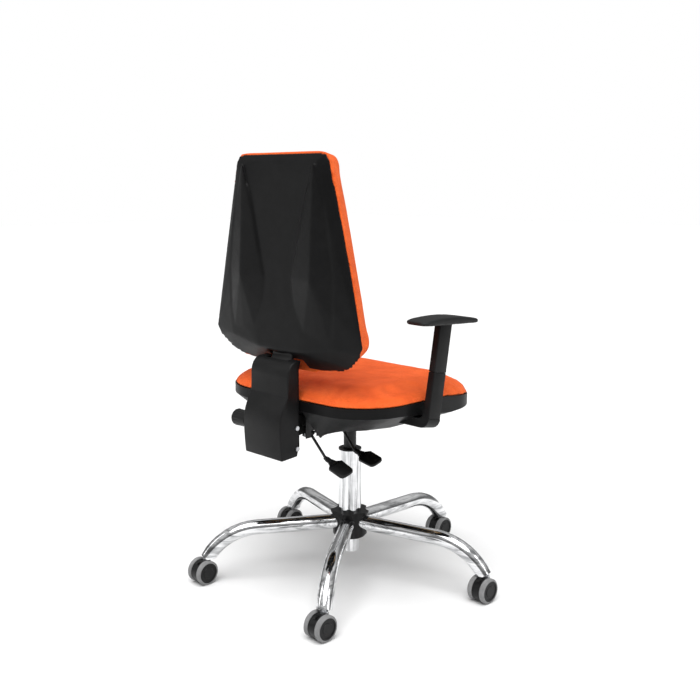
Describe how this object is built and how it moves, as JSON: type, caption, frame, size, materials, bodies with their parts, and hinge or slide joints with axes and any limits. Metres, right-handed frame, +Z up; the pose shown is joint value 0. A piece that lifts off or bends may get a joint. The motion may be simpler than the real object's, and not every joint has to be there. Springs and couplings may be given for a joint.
{
  "type": "swivel office chair",
  "caption": "Swivel office chair with padded seat and back, armrests, gas lift and a star base on casters.",
  "frame": {"origin": "on the floor, on the column axis", "axes": "+Z up, the chair faces -Y, its right side is -X"},
  "size_m": [0.6516, 0.6319, 0.9295],
  "materials": {
    "chromed_steel": "polished",
    "bright_steel": "machined",
    "black_steel": "satin black powder coat",
    "black_plastic": "satin moulded",
    "grey_tread": "soft grey tread",
    "grey_rubber": "matt",
    "soft_pad": "skinned foam, matt",
    "plywood": "raw",
    "orange_fabric": "woven upholstery"
  },
  "bodies": {
    "base": {"base_frame": "chromed_steel", "base_cover": "black_plastic", "lift_tube": "chromed_steel", "lift_bush": "black_plastic"},
    "caster_1": {"caster_1_pins": "bright_steel", "caster_1_housing": "black_plastic"},
    "wheel_1": {"caster_1_wheels": "black_plastic", "caster_1_tyres": "grey_tread"},
    "caster_2": {"caster_2_pins": "bright_steel", "caster_2_housing": "black_plastic"},
    "wheel_2": {"caster_2_wheels": "black_plastic", "caster_2_tyres": "grey_tread"},
    "caster_3": {"caster_3_pins": "bright_steel", "caster_3_housing": "black_plastic"},
    "wheel_3": {"caster_3_wheels": "black_plastic", "caster_3_tyres": "grey_tread"},
    "caster_4": {"caster_4_pins": "bright_steel", "caster_4_housing": "black_plastic"},
    "wheel_4": {"caster_4_wheels": "black_plastic", "caster_4_tyres": "grey_tread"},
    "caster_5": {"caster_5_pins": "bright_steel", "caster_5_housing": "black_plastic"},
    "wheel_5": {"caster_5_wheels": "black_plastic", "caster_5_tyres": "grey_tread"},
    "lift_rod": {"lift_rod": "bright_steel"},
    "seat_unit": {"lift_cylinder": "black_steel", "mechanism": "black_steel", "seat_plate": "black_steel", "lever_shaft": "bright_steel", "recline_pin": "bright_steel", "recline_spring": "grey_rubber", "seat_pan": "plywood", "seat_shell": "black_plastic", "seat_cushion": "orange_fabric", "seat_bolts": "bright_steel", "arm_r_bracket": "black_plastic", "arm_r_bar": "bright_steel", "arm_l_bracket": "black_plastic", "arm_l_bar": "bright_steel"},
    "height_lever": {"height_lever": "black_steel", "height_paddle": "black_plastic"},
    "tilt_lever": {"tilt_lever": "black_steel", "tilt_paddle": "black_plastic"},
    "back_carrier": {"back_link": "black_steel", "back_bar": "black_steel", "upright_cover": "black_plastic", "cover_screws": "bright_steel"},
    "tension_knob": {"tension_knob": "black_plastic"},
    "back": {"back_guide": "bright_steel", "back_panel": "plywood", "back_shell": "black_plastic", "back_cushion": "orange_fabric"},
    "arm_r_top": {"arm_r_shroud": "black_plastic", "arm_r_pad": "soft_pad"},
    "arm_r_button": {"arm_r_button": "black_plastic"},
    "arm_l_top": {"arm_l_shroud": "black_plastic", "arm_l_pad": "soft_pad"},
    "arm_l_button": {"arm_l_button": "black_plastic"}
  },
  "joints": [
    {"name": "caster_1_swivel", "type": "hinge", "parent": "base", "child": "caster_1", "pos_m": [0, -0.32, 0.06], "axis": [0, 0, 1], "continuous": true},
    {"name": "wheel_1_spin", "type": "hinge", "parent": "caster_1", "child": "wheel_1", "pos_m": [0, -0.31, 0.0265], "axis": [1, 0, 0], "continuous": true},
    {"name": "caster_2_swivel", "type": "hinge", "parent": "base", "child": "caster_2", "pos_m": [0.30434, -0.09889, 0.06], "axis": [0, 0, 1], "continuous": true},
    {"name": "wheel_2_spin", "type": "hinge", "parent": "caster_2", "child": "wheel_2", "pos_m": [0.30434, -0.08889, 0.0265], "axis": [1, 0, 0], "continuous": true},
    {"name": "caster_3_swivel", "type": "hinge", "parent": "base", "child": "caster_3", "pos_m": [0.18809, 0.25888, 0.06], "axis": [0, 0, 1], "continuous": true},
    {"name": "wheel_3_spin", "type": "hinge", "parent": "caster_3", "child": "wheel_3", "pos_m": [0.18809, 0.26888, 0.0265], "axis": [1, 0, 0], "continuous": true},
    {"name": "caster_4_swivel", "type": "hinge", "parent": "base", "child": "caster_4", "pos_m": [-0.18809, 0.25888, 0.06], "axis": [0, 0, 1], "continuous": true},
    {"name": "wheel_4_spin", "type": "hinge", "parent": "caster_4", "child": "wheel_4", "pos_m": [-0.18809, 0.26888, 0.0265], "axis": [1, 0, 0], "continuous": true},
    {"name": "caster_5_swivel", "type": "hinge", "parent": "base", "child": "caster_5", "pos_m": [-0.30434, -0.09889, 0.06], "axis": [0, 0, 1], "continuous": true},
    {"name": "wheel_5_spin", "type": "hinge", "parent": "caster_5", "child": "wheel_5", "pos_m": [-0.30434, -0.08889, 0.0265], "axis": [1, 0, 0], "continuous": true},
    {"name": "seat_swivel", "type": "hinge", "parent": "base", "child": "lift_rod", "pos_m": [0, 0, 0.06], "axis": [0, 0, 1], "continuous": true},
    {"name": "seat_height", "type": "slide", "parent": "lift_rod", "child": "seat_unit", "axis": [0, 0, 1], "range_m": [0, 0.12]},
    {"name": "height_lever_lift", "type": "hinge", "parent": "seat_unit", "child": "height_lever", "pos_m": [-0.034, 0.062, 0.358], "axis": [0, 1, 0], "range_deg": [0, 5], "stiffness_Nm_per_rad": 2, "springref_deg": -8.59},
    {"name": "tilt_lever_lift", "type": "hinge", "parent": "seat_unit", "child": "tilt_lever", "pos_m": [-0.034, 0.15, 0.358], "axis": [0, 1, 0], "range_deg": [0, 10]},
    {"name": "back_recline", "type": "hinge", "parent": "seat_unit", "child": "back_carrier", "pos_m": [0, 0.116, 0.376], "axis": [-1, 0, 0], "range_deg": [0, 18], "stiffness_Nm_per_rad": 40, "springref_deg": -20.05},
    {"name": "tension_knob_turn", "type": "hinge", "parent": "back_carrier", "child": "tension_knob", "pos_m": [0.08, 0.235, 0.385], "axis": [1, 0, 0], "range_deg": [0, 1080]},
    {"name": "back_height", "type": "slide", "parent": "back_carrier", "child": "back", "axis": [0, 0, 1], "range_m": [0, 0.06]},
    {"name": "arm_r_height", "type": "slide", "parent": "seat_unit", "child": "arm_r_top", "axis": [0, -0.1736, 0.9848], "range_m": [0, 0.055]},
    {"name": "arm_r_release", "type": "slide", "parent": "arm_r_top", "child": "arm_r_button", "axis": [0, 0.9848, 0.1736], "range_m": [0, 0.002], "stiffness_N_per_m": 400, "springref_m": -0.003},
    {"name": "arm_l_height", "type": "slide", "parent": "seat_unit", "child": "arm_l_top", "axis": [0, -0.1736, 0.9848], "range_m": [0, 0.055]},
    {"name": "arm_l_release", "type": "slide", "parent": "arm_l_top", "child": "arm_l_button", "axis": [0, 0.9848, 0.1736], "range_m": [0, 0.002], "stiffness_N_per_m": 400, "springref_m": -0.003}
  ]
}
